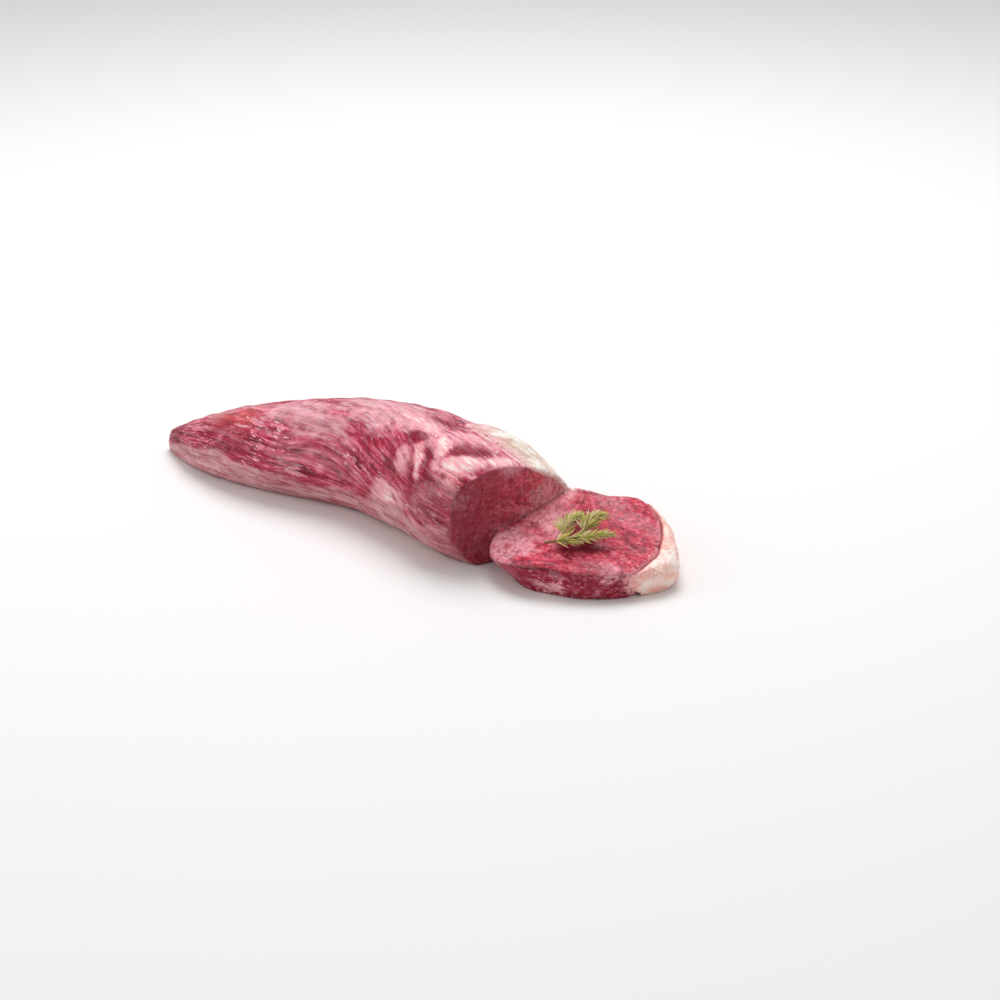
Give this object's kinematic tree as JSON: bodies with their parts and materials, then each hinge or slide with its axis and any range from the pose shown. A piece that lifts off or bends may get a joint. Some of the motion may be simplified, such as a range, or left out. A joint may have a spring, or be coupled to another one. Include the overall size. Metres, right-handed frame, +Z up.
{
  "type": "raw filet mignon",
  "caption": "Long tapering raw beef fillet lying on its flat underside, its thick end cut and the end slice folded down in front, with fat and a herb sprig.",
  "frame": {"origin": "centre of the bounding box in plan, on the plane that the fillet rests on", "axes": "+Z up, +X along the fillet from its thin tail to the cut end and the slice, -Y towards the flank that the picture shows"},
  "size_m": [0.373, 0.1142, 0.0668],
  "materials": {
    "meat": "wet raw beef, dark pink red with pale marbling and a thin grey pink membrane",
    "fat": "soft cream to pink fat, slightly waxy",
    "herb": "dull olive green needles on a brown stem"
  },
  "bodies": {
    "root": {"meat": "meat", "fat_cap": "fat", "slice_fat": "fat", "sprig": "herb"}
  },
  "joints": []
}
